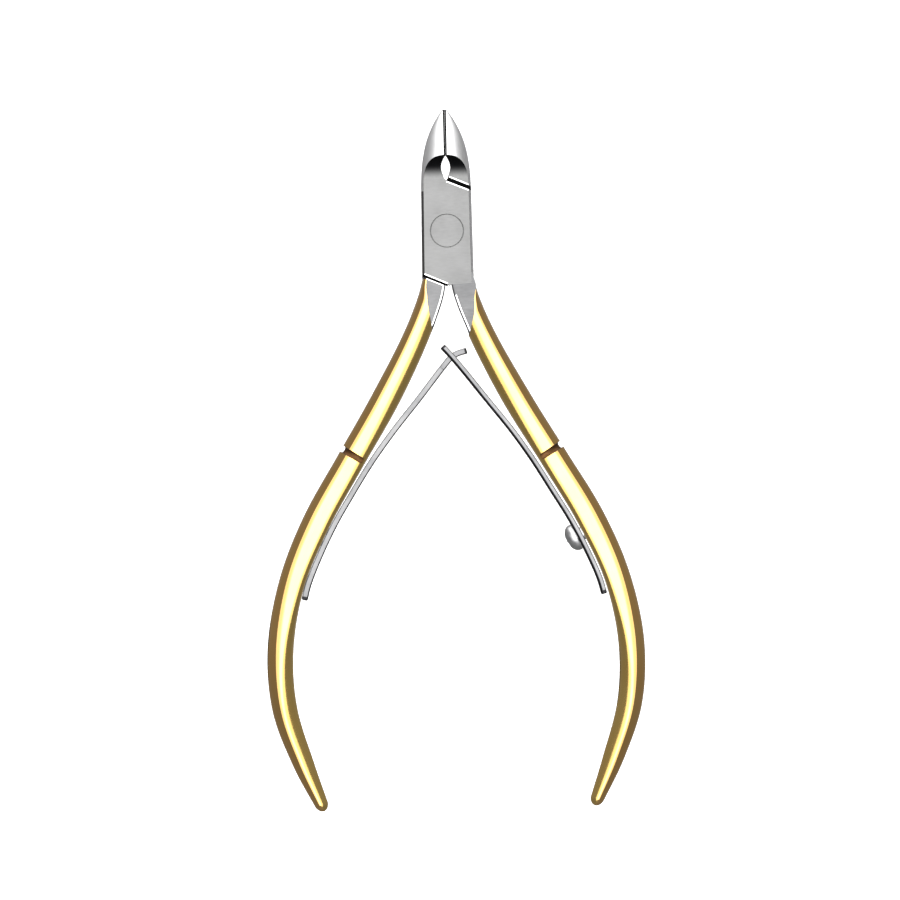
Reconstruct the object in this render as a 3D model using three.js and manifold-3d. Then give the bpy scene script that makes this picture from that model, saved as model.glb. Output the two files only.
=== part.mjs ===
// Cuticle nipper with a lap joint and two interlocking leaf springs, lying on its back face.
// Millimetres. X runs across the tool, +Y towards the jaw tips, +Z up.
// The origin is on the pivot axis, in the plane of the back face.
import * as THREE from 'three';
import { mergeVertices } from 'three/addons/utils/BufferGeometryUtils.js';
import Module from 'manifold-3d';

const wasm = await Module();
wasm.setup();

// Joint
const JOINT_THICKNESS = 6.6;
const MIDDLE = JOINT_THICKNESS / 2;
const LAP_GAP = 0.12;
const PLATE_HALF_WIDTH = 3.78;
const PLATE_FOOT_HALF_WIDTH = 3.9;
const PLATE_TOP_Y = 6;
const FAR = 30;
const BELOW = -1;
const CURVE_SEGMENTS = 14;
const MERGE_TOLERANCE = 1e-4;
const ROUNDING_ERROR = 1e-9;
const BISECTION_STEPS = 40;

// Half of the lap joint, from the shoulder below the jaws to the two tails
const LAP_PLATE_OUTLINE = [
  [0.1, 7.5],
  [PLATE_HALF_WIDTH, PLATE_TOP_Y],
  [PLATE_FOOT_HALF_WIDTH, -8.2],
  [0.9, -9.6],
  [0.2, -8.25],
  [-0.07, -8.0],
  [-PLATE_FOOT_HALF_WIDTH, -6.35],
  [-PLATE_HALF_WIDTH, PLATE_TOP_Y],
  [-3.6, 7.6],
  [-0.4, 8.5],
  [-0.3, 8.0],
];

// Pivot rivet
const RIVET_HEAD_RADIUS = 2.45;
const RIVET_HEAD_DEPTH = 1.2;
const RIVET_SHANK_RADIUS = 1.7;
const RIVET_GAP = 0.12;
const RIVET_SEGMENTS = 36;

// Jaws
const JAW_TIP_Y = 18.3;
const JAW_AXIS_Z = 4.9;
const JAW_SEGMENTS = 36;
const JAW_STEPS = 16;
const SEAM_HALF_GAP = 0.2;

// Control points of the jaws' outline, from the plate to the tip
const JAW_OUTLINE = [
  [PLATE_HALF_WIDTH, PLATE_TOP_Y],
  [3.75, 12.2],
  [2.6, 15.2],
  [0.35, JAW_TIP_Y],
];

// The side of the seam and shoulder on which the jaw lies
const JAW_TERRITORY = [
  [-SEAM_HALF_GAP, FAR],
  [-FAR, FAR],
  [-FAR, PLATE_TOP_Y],
  [-4.2, 6.47],
  [-0.5, 8.05],
  [-SEAM_HALF_GAP, 9],
];
const SCOOP_START_Y = 7.9;
const SCOOP_RADIUS = 4.54;
const BACK_TAPER_START_Y = 7;
const BACK_TAPER_TIP_Z = 3.9;
const RELIEF_BOTTOM_Y = 7.75;
const RELIEF_TOP_Y = 11.45;
const RELIEF_HALF_WIDTH = 0.68;

// Handles: centre x, centre y, half width, half depth at stations from the joint to the tip
const HANDLE_STATIONS = [
  [1.95, -6.6, 1.7, 3.7],
  [2.85, -10.4, 1.87, 3.5],
  [5.31, -16.4, 1.95, 3.1],
  [10.05, -25.5, 2.13, 3.05],
  [15.43, -34.5, 2.1, 3.0],
  [20.68, -43.5, 2.12, 2.95],
  [24.55, -52.6, 1.98, 2.85],
  [26.45, -62.5, 1.98, 2.7],
  [26.0, -71.5, 1.9, 2.45],
  [23.4, -79.7, 1.6, 2.1],
  [20.35, -87.0, 0.95, 1.5],
];

// The side of the lower shoulder on which the handle has its full thickness
const HANDLE_SHOULDER = [
  [0.2, -8.35],
  [4.6, -6.5],
];
const HANDLE_REACH = 120;
const HANDLE_SIDES = 16;
const HANDLE_STEPS = 34;
const HANDLE_END_ROUND = 0.015;
const HANDLE_END_FLAT = 0.7;
const ROOT_SQUARENESS = 7;
const OUTER_SQUARENESS = 2.3;
const INNER_SQUARENESS = 3.6;
const ROOT_BLEND = 0.2;

// Finger groove cut round the outer half of each handle
const GROOVE_Y = -33.2;
const GROOVE_WIDTH = 0.75;
const GROOVE_RING_RADIUS = 2.57;
const GROOVE_RING_OFFSET = -0.97;
const GROOVE_RING_WALL = 2.5;
const GROOVE_RIM_WIDTH = 1.1;
const GROOVE_RING_SEGMENTS = 44;

// Leaf springs: plan points from the handle to the free end, as distances from the tool's axis
const SPRING_THICKNESS = 0.9;
const SPRING_WIDTH = 5;
const SPRING_NECK_WIDTH = 4.2;
const SPRING_BASE = [
  [22.5, -55.1],
  [21.8, -52.6],
  [19.6, -47.5],
  [17.55, -43.5],
  [15.45, -40],
  [12.1, -34.5],
];
const TONGUE_SPRING_END = [
  [8.6, -29.8],
  [4.9, -25.3],
  [1.0, -20.4],
  [-0.2, -19.05],
  [-1.2, -18.45],
  [-2.6, -18.05],
];
const SLOT_SPRING_END = [
  [9.0, -30.0],
  [5.5, -25.5],
  [2.1, -21.1],
  [0.15, -18.7],
  [-1.05, -17.35],
];
const SPRING_STEPS = 32;
const TONGUE_LENGTH = 4.7;
const TONGUE_WIDTH = 1.4;
const SLOT_WIDTH = 2.2;
const SLOT_LENGTH = 5.4;
const SLOT_END_BRIDGE = 0.9;
const CUTTER_REACH = 2;

// Spring screws
const SCREW_Y = -46.2;
const SCREW_SHANK_RADIUS = 1;
const SCREW_SHANK_LENGTH = 3.1;
const SCREW_GAP = 0.15;
const PAN_HEAD_RADIUS = 2.05;
const PAN_HEAD_HEIGHT = 1.5;
const PAN_HEAD_RIM = 0.35;
const PAN_HEAD_DOME_STEPS = 7;
const FLUSH_HEAD_RADIUS = 1.75;
const RECESS_LENGTH = 2;
const RECESS_WIDTH = 0.5;
const RECESS_DEPTH = 0.7;
const SCREW_SEGMENTS = 20;

const MATERIALS = {
  goldPlated: { color: 0xd2b25c, roughness: 0.18, metalness: 1 },
  satinSteel: { color: 0xbebebe, roughness: 0.4, metalness: 1 },
  springSteel: { color: 0xb4b6b8, roughness: 0.25, metalness: 1 },
};

// ---- solids -------------------------------------------------------------------------------

function signedVolume(geometry) {
  const p = geometry.attributes.position;
  const index = geometry.index;
  const a = new THREE.Vector3();
  const b = new THREE.Vector3();
  const c = new THREE.Vector3();
  let volume = 0;
  for (let i = 0; i < index.count; i += 3) {
    a.fromBufferAttribute(p, index.getX(i));
    b.fromBufferAttribute(p, index.getX(i + 1));
    c.fromBufferAttribute(p, index.getX(i + 2));
    volume += a.dot(b.cross(c)) / 6;
  }
  return volume;
}

// A closed geometry as a solid whose faces point out, whichever way it was bent or mirrored.
function solid(geometry) {
  const bare = geometry.clone();
  bare.deleteAttribute('normal');
  bare.deleteAttribute('uv');
  const merged = mergeVertices(bare, MERGE_TOLERANCE);
  const triVerts = new Uint32Array(merged.index.array);
  if (signedVolume(merged) < 0) {
    for (let i = 0; i < triVerts.length; i += 3) {
      [triVerts[i], triVerts[i + 1]] = [triVerts[i + 1], triVerts[i]];
    }
  }
  const vertProperties = new Float32Array(merged.attributes.position.array);
  return new wasm.Manifold(new wasm.Mesh({ numProp: 3, vertProperties, triVerts }));
}

function geometryOf(body) {
  const mesh = body.getMesh();
  const geometry = new THREE.BufferGeometry();
  geometry.setAttribute('position', new THREE.BufferAttribute(mesh.vertProperties, 3));
  geometry.setIndex(new THREE.BufferAttribute(mesh.triVerts, 1));
  geometry.computeVertexNormals();
  return geometry;
}

function mirrorInX(geometry, hand) {
  return hand > 0 ? geometry : geometry.scale(-1, 1, 1);
}

// A plan outline raised from z0 to z1.
function prism(points, z0, z1) {
  const shape = new THREE.Shape(points.map(([x, y]) => new THREE.Vector2(x, y)));
  return prismOfShape(shape, z0, z1);
}

function prismOfShape(shape, z0, z1) {
  const options = { depth: z1 - z0, bevelEnabled: false, curveSegments: CURVE_SEGMENTS };
  return new THREE.ExtrudeGeometry(shape, options).translate(0, 0, z0);
}

// A side outline, drawn as (y, z), run across the whole width of the tool.
function sideProfile(shape) {
  const options = { depth: FAR, bevelEnabled: false, curveSegments: CURVE_SEGMENTS };
  const geometry = new THREE.ExtrudeGeometry(shape, options).translate(0, 0, -FAR / 2);
  return geometry.applyMatrix4(
    new THREE.Matrix4().makeBasis(
      new THREE.Vector3(0, 1, 0),
      new THREE.Vector3(0, 0, 1),
      new THREE.Vector3(1, 0, 0),
    ),
  );
}

// Turns a geometry made along +Y to lie along a direction, with its origin at a point.
function alongAxis(geometry, point, direction) {
  const turn = new THREE.Quaternion().setFromUnitVectors(new THREE.Vector3(0, 1, 0), direction);
  return geometry.applyQuaternion(turn).translate(point.x, point.y, point.z);
}

// ---- head ---------------------------------------------------------------------------------

function jawOutline() {
  const control = JAW_OUTLINE.map(([x, y]) => new THREE.Vector2(x, y));
  return new THREE.CubicBezierCurve(...control).getPoints(JAW_STEPS);
}

// Both closed jaws in one: round in front, straight-sided towards the back, tapered to the tip.
function closedJaws() {
  const outline = jawOutline();
  const profile = [new THREE.Vector2(0, PLATE_TOP_Y), ...outline, new THREE.Vector2(0, JAW_TIP_Y)];
  const round = new THREE.LatheGeometry(profile, JAW_SEGMENTS).translate(0, 0, JAW_AXIS_Z);
  const right = outline.map((p) => [p.x, p.y]);
  const left = outline.map((p) => [-p.x, p.y]).reverse();
  const belly = prism([...right, ...left], 0, JAW_AXIS_Z);

  const scoop = new THREE.Shape();
  scoop.moveTo(-FAR, JOINT_THICKNESS);
  scoop.lineTo(SCOOP_START_Y, JOINT_THICKNESS);
  const centreZ = JOINT_THICKNESS + SCOOP_RADIUS;
  scoop.absarc(SCOOP_START_Y, centreZ, SCOOP_RADIUS, -Math.PI / 2, 0, false);
  scoop.lineTo(SCOOP_START_Y + SCOOP_RADIUS, FAR);
  scoop.lineTo(-FAR, FAR);

  const taperSlope = BACK_TAPER_TIP_Z / (JAW_TIP_Y - BACK_TAPER_START_Y);
  const taper = new THREE.Shape();
  taper.moveTo(BACK_TAPER_START_Y, 0);
  taper.lineTo(FAR, taperSlope * (FAR - BACK_TAPER_START_Y));
  taper.lineTo(FAR, -FAR);
  taper.lineTo(-FAR, -FAR);
  taper.lineTo(-FAR, 0);

  return solid(round)
    .add(solid(belly))
    .subtract(solid(sideProfile(scoop)))
    .subtract(solid(sideProfile(taper)));
}

// The jaw opposite the lever's handle, full thickness down to its shoulder.
function jaw() {
  return closedJaws().intersect(solid(prism(JAW_TERRITORY, BELOW, FAR)));
}

// The lens-shaped hole between the closed jaws, above the joint.
function seamRelief() {
  const middle = (RELIEF_BOTTOM_Y + RELIEF_TOP_Y) / 2;
  const reach = RELIEF_HALF_WIDTH * 2;
  const lens = new THREE.Shape();
  lens.moveTo(0, RELIEF_BOTTOM_Y);
  lens.quadraticCurveTo(reach, middle, 0, RELIEF_TOP_Y);
  lens.quadraticCurveTo(-reach, middle, 0, RELIEF_BOTTOM_Y);
  return solid(prismOfShape(lens, BELOW, FAR));
}

// ---- handles ------------------------------------------------------------------------------

const handlePath = new THREE.CatmullRomCurve3(
  HANDLE_STATIONS.map(([x, y]) => new THREE.Vector3(x, y, 0)),
);
const handleSize = new THREE.CatmullRomCurve3(
  HANDLE_STATIONS.map(([, , width, depth]) => new THREE.Vector3(width, depth, 0)),
);

// A circle's coordinate turned into a rounded square's; rounding errors stay on the axis.
function power(value, squareness) {
  return Math.abs(value) < ROUNDING_ERROR ? 0 : Math.sign(value) * Math.abs(value) ** (2 / squareness);
}

// A cylinder whose rings are laid along the handle's path, oval outside and flatter inside.
function handle() {
  const geometry = new THREE.CylinderGeometry(1, 1, 1, HANDLE_SIDES, HANDLE_STEPS);
  const p = geometry.attributes.position;
  for (let i = 0; i < p.count; i += 1) {
    const t = THREE.MathUtils.clamp(0.5 - p.getY(i), 0, 1);
    const centre = handlePath.getPoint(t);
    const along = handlePath.getTangent(t);
    const outward = new THREE.Vector3(-along.y, along.x, 0);
    const size = handleSize.getPoint(t);
    const rootShare = THREE.MathUtils.smoothstep(ROOT_BLEND - t, 0, ROOT_BLEND);
    const flank = p.getX(i) > 0 ? OUTER_SQUARENESS : INNER_SQUARENESS;
    const squareness = THREE.MathUtils.lerp(flank, ROOT_SQUARENESS, rootShare);
    const fromEnd = Math.max(0, t - (1 - HANDLE_END_ROUND)) / HANDLE_END_ROUND;
    const closing = Math.sqrt(Math.max(HANDLE_END_FLAT ** 2, 1 - fromEnd * fromEnd));
    const across = size.x * closing * power(p.getX(i), squareness);
    const up = size.y * closing * power(p.getZ(i), squareness);
    const z = THREE.MathUtils.clamp(MIDDLE + up, 0, JOINT_THICKNESS);
    p.setXYZ(i, centre.x + outward.x * across, centre.y + outward.y * across, z);
  }
  return geometry;
}

// The curve parameter at which a plan curve that only falls reaches a given y.
function parameterAtY(curve, y) {
  let low = 0;
  let high = 1;
  const rising = curve.getPoint(1).y > curve.getPoint(0).y;
  for (let i = 0; i < BISECTION_STEPS; i += 1) {
    const middle = (low + high) / 2;
    if (curve.getPoint(middle).y < y === rising) {
      low = middle;
    } else {
      high = middle;
    }
  }
  return (low + high) / 2;
}

// A ring whose bore bites into the outer side of the handle and fades out at its crest.
function grooveCutter() {
  const t = parameterAtY(handlePath, GROOVE_Y);
  const along = handlePath.getTangent(t);
  const outward = new THREE.Vector3(-along.y, along.x, 0);
  const half = GROOVE_WIDTH / 2;
  const ring = [
    new THREE.Vector2(GROOVE_RING_RADIUS, -half),
    new THREE.Vector2(GROOVE_RING_RADIUS + GROOVE_RING_WALL, -GROOVE_RIM_WIDTH / 2),
    new THREE.Vector2(GROOVE_RING_RADIUS + GROOVE_RING_WALL, GROOVE_RIM_WIDTH / 2),
    new THREE.Vector2(GROOVE_RING_RADIUS, half),
    new THREE.Vector2(GROOVE_RING_RADIUS, -half),
  ];
  const centre = handlePath.getPoint(t).addScaledVector(outward, GROOVE_RING_OFFSET);
  centre.z = MIDDLE;
  return solid(alongAxis(new THREE.LatheGeometry(ring, GROOVE_RING_SEGMENTS), centre, along));
}

// Full thickness below the shoulder that faces the other lever's half of the joint.
function handleTerritory() {
  const [inner, outer] = HANDLE_SHOULDER;
  const outline = [
    inner,
    outer,
    [HANDLE_REACH, outer[1]],
    [HANDLE_REACH, -HANDLE_REACH],
    [inner[0], -HANDLE_REACH],
  ];
  return solid(prism(outline, BELOW, FAR));
}

// ---- springs and screws -------------------------------------------------------------------

function springCurve(freeEnd, hand) {
  const points = [...SPRING_BASE, ...freeEnd];
  return new THREE.CatmullRomCurve3(points.map(([x, y]) => new THREE.Vector3(x * hand, y, MIDDLE)));
}

// A flat strip bent along a curve, its width across Z given along its length.
function bentStrip(curve, widthAt) {
  const length = curve.getLength();
  const geometry = new THREE.BoxGeometry(1, 1, 1, SPRING_STEPS, 1, 1);
  const p = geometry.attributes.position;
  for (let i = 0; i < p.count; i += 1) {
    const t = p.getX(i) + 0.5;
    const centre = curve.getPointAt(t);
    const along = curve.getTangentAt(t);
    const side = p.getY(i) * SPRING_THICKNESS;
    const z = centre.z + p.getZ(i) * widthAt(t * length, length);
    p.setXYZ(i, centre.x - along.y * side, centre.y + along.x * side, z);
  }
  return solid(geometry);
}

// Where a spring's screw crosses its centre line, and the way from there to the screw's head.
function screwPlace(curve, hand) {
  const t = parameterAtY(curve, SCREW_Y);
  const along = curve.getTangent(t);
  const towardAxis = new THREE.Vector3(-along.y, along.x, 0).multiplyScalar(hand);
  return { point: curve.getPoint(t), axis: towardAxis };
}

function lathed(points, segments) {
  return new THREE.LatheGeometry(points.map(([r, y]) => new THREE.Vector2(r, y)), segments);
}

function placedSolid(points, place) {
  return solid(alongAxis(lathed(points, SCREW_SEGMENTS), place.point, place.axis));
}

function shankHole(place) {
  const radius = SCREW_SHANK_RADIUS + SCREW_GAP;
  const bottom = -SPRING_THICKNESS / 2 - SCREW_SHANK_LENGTH - SCREW_GAP;
  const profile = [[0, bottom], [radius, bottom], [radius, CUTTER_REACH], [0, CUTTER_REACH]];
  return placedSolid(profile, place);
}

function flushHeadProfile(gap) {
  const face = SPRING_THICKNESS / 2;
  return [
    [SCREW_SHANK_RADIUS + gap, -face],
    [FLUSH_HEAD_RADIUS + gap, face - gap],
  ];
}

function flushHeadHole(place) {
  const [throat, rim] = flushHeadProfile(SCREW_GAP);
  const profile = [[0, throat[1]], throat, rim, [rim[0], CUTTER_REACH], [0, CUTTER_REACH]];
  return placedSolid(profile, place);
}

// A cross recess cut from a height along the screw's axis.
function crossRecess(place, height) {
  let cutter = null;
  for (const angle of [Math.PI / 4, -Math.PI / 4]) {
    const bar = new THREE.BoxGeometry(RECESS_LENGTH, RECESS_DEPTH * 2, RECESS_WIDTH);
    const arm = solid(alongAxis(bar.rotateY(angle).translate(0, height, 0), place.point, place.axis));
    cutter = cutter ? cutter.add(arm) : arm;
  }
  return cutter;
}

function panHeadScrew(place) {
  const seat = SPRING_THICKNESS / 2 + SCREW_GAP;
  const bottom = -SPRING_THICKNESS / 2 - SCREW_SHANK_LENGTH;
  const rim = seat + PAN_HEAD_RIM;
  const dome = PAN_HEAD_HEIGHT - PAN_HEAD_RIM;
  const profile = [
    [0, bottom],
    [SCREW_SHANK_RADIUS, bottom],
    [SCREW_SHANK_RADIUS, seat],
    [PAN_HEAD_RADIUS, seat],
  ];
  for (let i = 0; i < PAN_HEAD_DOME_STEPS; i += 1) {
    const angle = (i / PAN_HEAD_DOME_STEPS) * (Math.PI / 2);
    profile.push([PAN_HEAD_RADIUS * Math.cos(angle), rim + dome * Math.sin(angle)]);
  }
  profile.push([0, seat + PAN_HEAD_HEIGHT]);
  return placedSolid(profile, place).subtract(crossRecess(place, seat + PAN_HEAD_HEIGHT));
}

function flushScrew(place) {
  const [throat, rim] = flushHeadProfile(0);
  const bottom = -SPRING_THICKNESS / 2 - SCREW_SHANK_LENGTH;
  const profile = [[0, bottom], [SCREW_SHANK_RADIUS, bottom], throat, rim, [0, rim[1]]];
  return placedSolid(profile, place).subtract(crossRecess(place, SPRING_THICKNESS / 2));
}

const slotSpring = springCurve(SLOT_SPRING_END, 1);
const tongueSpring = springCurve(TONGUE_SPRING_END, -1);
const slotScrewPlace = screwPlace(slotSpring, 1);
const tongueScrewPlace = screwPlace(tongueSpring, -1);

function rightLeafSpring() {
  const widthAt = (s, length) => THREE.MathUtils.lerp(SPRING_WIDTH, SPRING_NECK_WIDTH, s / length);
  const length = slotSpring.getLength();
  const slotCentre = (length - SLOT_END_BRIDGE - SLOT_LENGTH / 2) / length;
  const slot = new THREE.BoxGeometry(CUTTER_REACH * 2, SLOT_LENGTH, SLOT_WIDTH);
  const along = slotSpring.getTangentAt(slotCentre);
  const cutter = alongAxis(slot, slotSpring.getPointAt(slotCentre), along);
  return bentStrip(slotSpring, widthAt)
    .subtract(solid(cutter))
    .subtract(shankHole(slotScrewPlace));
}

function leftLeafSpring() {
  const widthAt = (s, length) => {
    if (s > length - TONGUE_LENGTH) {
      return TONGUE_WIDTH;
    }
    return THREE.MathUtils.lerp(SPRING_WIDTH, SPRING_NECK_WIDTH, s / length);
  };
  return bentStrip(tongueSpring, widthAt)
    .subtract(shankHole(tongueScrewPlace))
    .subtract(flushHeadHole(tongueScrewPlace));
}

// ---- levers and rivet ---------------------------------------------------------------------

function pivotRivet() {
  const top = JOINT_THICKNESS;
  const profile = [
    [0, 0],
    [RIVET_HEAD_RADIUS, 0],
    [RIVET_HEAD_RADIUS, RIVET_HEAD_DEPTH],
    [RIVET_SHANK_RADIUS, RIVET_HEAD_DEPTH],
    [RIVET_SHANK_RADIUS, top - RIVET_HEAD_DEPTH],
    [RIVET_HEAD_RADIUS, top - RIVET_HEAD_DEPTH],
    [RIVET_HEAD_RADIUS, top],
    [0, top],
  ];
  return solid(lathed(profile, RIVET_SEGMENTS).rotateX(Math.PI / 2));
}

function rivetHole() {
  const headRadius = RIVET_HEAD_RADIUS + RIVET_GAP;
  const shankRadius = RIVET_SHANK_RADIUS + RIVET_GAP;
  const seat = RIVET_HEAD_DEPTH + RIVET_GAP;
  const profile = [
    [0, BELOW],
    [headRadius, BELOW],
    [headRadius, seat],
    [shankRadius, seat],
    [shankRadius, JOINT_THICKNESS - seat],
    [headRadius, JOINT_THICKNESS - seat],
    [headRadius, JOINT_THICKNESS - BELOW],
    [0, JOINT_THICKNESS - BELOW],
  ];
  return solid(lathed(profile, RIVET_SEGMENTS).rotateX(Math.PI / 2));
}

// One forging: jaw, half joint and handle. Hand 1 has its handle on +X and the front half plate,
// hand -1 has its handle on -X and the back half plate.
function lever(hand, screw) {
  const z0 = hand > 0 ? MIDDLE + LAP_GAP / 2 : 0;
  const z1 = hand > 0 ? JOINT_THICKNESS : MIDDLE - LAP_GAP / 2;
  const body = solid(handle())
    .intersect(handleTerritory())
    .add(solid(prism(LAP_PLATE_OUTLINE, z0, z1)))
    .add(jaw())
    .subtract(seamRelief())
    .subtract(grooveCutter());
  const placed = solid(mirrorInX(geometryOf(body), hand));
  return placed.subtract(rivetHole()).subtract(shankHole(screw));
}

// ---- assembly -----------------------------------------------------------------------------

const nipper = new THREE.Group();

function addPiece(name, body, finish) {
  const material = new THREE.MeshStandardMaterial(MATERIALS[finish]);
  const mesh = new THREE.Mesh(geometryOf(body), material);
  mesh.name = name;
  nipper.add(mesh);
}

addPiece('front_lever', lever(1, slotScrewPlace), 'goldPlated');
addPiece('rear_lever', lever(-1, tongueScrewPlace), 'goldPlated');
addPiece('pivot_rivet', pivotRivet(), 'satinSteel');
addPiece('right_leaf_spring', rightLeafSpring(), 'springSteel');
addPiece('left_leaf_spring', leftLeafSpring(), 'springSteel');
addPiece('right_spring_screw', panHeadScrew(slotScrewPlace), 'satinSteel');
addPiece('left_spring_screw', flushScrew(tongueScrewPlace), 'satinSteel');

export default nipper;
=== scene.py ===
"""Cuticle nipper: the fine surface, finishes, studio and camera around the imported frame.

Shapes are worked out in millimetres in the row frame and turned into metres when a mesh is made.
"""

import math

import bmesh
import bpy
import numpy as np
from mathutils import Matrix, Vector


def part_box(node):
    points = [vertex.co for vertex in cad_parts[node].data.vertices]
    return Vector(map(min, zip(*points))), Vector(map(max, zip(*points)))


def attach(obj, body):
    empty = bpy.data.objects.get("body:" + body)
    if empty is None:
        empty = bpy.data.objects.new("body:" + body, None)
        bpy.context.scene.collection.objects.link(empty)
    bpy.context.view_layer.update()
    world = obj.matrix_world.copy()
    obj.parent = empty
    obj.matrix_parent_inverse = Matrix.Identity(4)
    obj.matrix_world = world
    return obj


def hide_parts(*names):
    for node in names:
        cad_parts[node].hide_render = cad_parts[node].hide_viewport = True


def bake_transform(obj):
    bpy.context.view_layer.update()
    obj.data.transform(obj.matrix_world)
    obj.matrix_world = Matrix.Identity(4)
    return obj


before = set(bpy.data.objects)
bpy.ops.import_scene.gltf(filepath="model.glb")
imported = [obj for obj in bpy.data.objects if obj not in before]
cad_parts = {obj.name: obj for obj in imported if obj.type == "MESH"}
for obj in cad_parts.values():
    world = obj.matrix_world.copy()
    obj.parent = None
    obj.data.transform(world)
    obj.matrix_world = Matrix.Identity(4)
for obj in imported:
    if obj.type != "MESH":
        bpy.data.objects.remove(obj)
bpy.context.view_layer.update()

MM = 0.001
scene = bpy.context.scene

# ---- dimensions taken from the frame, in millimetres ----------------------------------------

rivet_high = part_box("pivot_rivet")[1] / MM
lever_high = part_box("front_lever")[1] / MM
JOINT_THICKNESS = rivet_high.z
MIDDLE = JOINT_THICKNESS / 2
RIVET_RADIUS = rivet_high.x
JAW_TIP_Y = lever_high.y

# ---- dimensions of the joint and jaws -------------------------------------------------------

LAP_GAP = 0.12
PLATE_HALF_WIDTH = 3.78
PLATE_FOOT_HALF_WIDTH = 3.9
PLATE_TOP_Y = 6.0
PLATE_FOOT_Y = -8.2
SHOULDER_CHAMFER = (0.17, 0.032)
BACK_FILLET = 0.35
BACK_FILLET_SHARE = 0.4
FAR = 30.0

JAW_OUTLINE = [(PLATE_HALF_WIDTH, PLATE_TOP_Y), (3.75, 12.2), (2.6, 15.2), (0.35, JAW_TIP_Y)]
JAW_ROWS = 90
HEAD_BLANK_END_Y = -10.5
HEAD_FRONT_STEPS, HEAD_SIDE_STEPS, HEAD_CORNER_STEPS, HEAD_BACK_STEPS = 128, 8, 6, 36
JAW_AXIS_Z = 4.9
SEAM_HALF_WIDTH = 0.25
SEAM_DEPTH_Z = (4.45, 4.5)
EDGE_HALF_GAP = 0.006
RELIEF_ENDS_Y = (7.75, 11.45)
RELIEF_HALF_WIDTH = 0.68
RELIEF_STEPS = 40
SCOOP_START_Y = 7.9
SCOOP_RADIUS = 4.54
SCOOP_STEPS = 96
# Where the ground hollow's colour fades to near black towards the ridge: a painted dark reflection
SCOOP_PAINTED_DARK_Y = (SCOOP_START_Y - 0.2, SCOOP_START_Y + 2.0)
BACK_TAPER_START_Y = 7
BACK_TAPER_TIP_Z = 3.9
# The hollow ground in the jaws' back: its depth, where it starts, is full and ends, and how wide it is
BACK_HOLLOW = 0.6
BACK_HOLLOW_Y = (9.0, 12.5, 15.5, JAW_TIP_Y)
BACK_HOLLOW_SHARE = 0.8

# Plan outlines that divide the two levers, drawn for the lever with its handle on +X
JAW_TERRITORY = [(-EDGE_HALF_GAP, FAR), (-FAR, FAR), (-FAR, PLATE_TOP_Y), (-4.2, 6.47), (-0.5, 8.05),
                 (-EDGE_HALF_GAP, 9)]
PLATE_TERRITORY = [(0.1, 7.5), (3.78, 6.0), (5.0, 5.5), (5.0, -7.8), (0.35, -8.1), (0.2, -8.25),
                   (-0.07, -8.0), (-3.9, -6.35), (-5.0, -5.9), (-5.0, 6.0), (-3.6, 7.6), (-0.4, 8.5),
                   (-0.3, 8.0)]
HANDLE_SHOULDER = [(0.2, -8.35), (4.6, -6.5)]
JAW_SHOULDER = [(-4.2, 6.47), (-0.5, 8.05)]
PLATE_HEAD_EDGE = [(0.1, 7.5), (3.78, 6.0)]
PLATE_FOOT_EDGE = [(-0.07, -8.0), (-3.9, -6.35)]

RIVET_HEAD_DEPTH = 1.2
RIVET_SHANK_RADIUS = 1.7
RIVET_GAP = 0.055
RIVET_CHAMFER = 0.05
RIVET_EASE = 0.05
ROUND_SEGMENTS = 128
RIVET_BELOW_PLATE = 0.012

# ---- handles: centre x, centre y, half width, half depth ------------------------------------

HANDLE_STATIONS = [
    (1.95, -6.6, 1.7, 3.7),
    (2.85, -10.4, 1.87, 3.5),
    (5.31, -16.4, 1.95, 3.1),
    (10.05, -25.5, 2.13, 3.05),
    (15.43, -34.5, 2.1, 3.0),
    (20.68, -43.5, 2.12, 2.95),
    (24.55, -52.6, 1.98, 2.85),
    (26.45, -62.5, 1.98, 2.7),
    (26.0, -71.5, 1.9, 2.45),
    (23.4, -79.7, 1.6, 2.1),
    (20.35, -87.0, 0.95, 1.5),
]
# Sections: y, how far out the crest stands, squareness of the inner and outer halves
HANDLE_SECTIONS = [
    (-6.6, 0.15, 2.4, 2.3),
    (-17.0, 0.15, 2.4, 2.3),
    (-25.5, 0.05, 2.4, 2.3),
    (-38.0, 0.0, 4.0, 2.3),
    (-50.0, -0.15, 4.0, 2.3),
    (-61.0, -0.22, 2.0, 2.0),
    (-70.6, 0.05, 1.7, 1.7),
    (-87.0, 0.1, 1.75, 1.75),
]
# The bare steel tails on the right (1) and left (-1) handle's root, as shares of the half width:
# y, how far out the tail's edge stands, and its inner wall
TAILS = {
    1: [(-6.6, 0.99, -1.0), (-9.0, 0.97, -0.95), (-9.7, 0.8, -0.92), (-10.4, 0.62, -0.9),
        (-11.3, 0.43, -0.89), (-12.1, 0.24, -0.88), (-12.9, 0.0, -0.88), (-13.6, -0.32, -0.88),
        (-14.4, -0.68, -0.9), (-15.0, -0.93, -0.94)],
    -1: [(-6.6, 0.7, -1.05), (-8.9, 0.5, -1.02), (-9.8, 0.31, -1.0), (-10.6, 0.15, -0.98),
         (-11.4, -0.07, -0.97), (-12.2, -0.34, -0.97), (-13.0, -0.62, -0.98), (-13.7, -0.86, -0.99),
         (-14.1, -0.97, -0.99)],
}
TAIL_TOP_Y = -8.2
BARE_ALL_ROUND_Y = {1: -9.2, -1: -7.4}
TAIL_FADE_LENGTH = 6.5
TAIL_SLOPE = 0.09
TAIL_DROP = 0.006
TAIL_EDGE_LIMIT = 0.985
# The tail's bevelled inner edge: distance from the wall and drop below the shelf
TAIL_BEVELS = ((0.38, 0.0), (0.19, 0.035), (0.0, 0.2))
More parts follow.
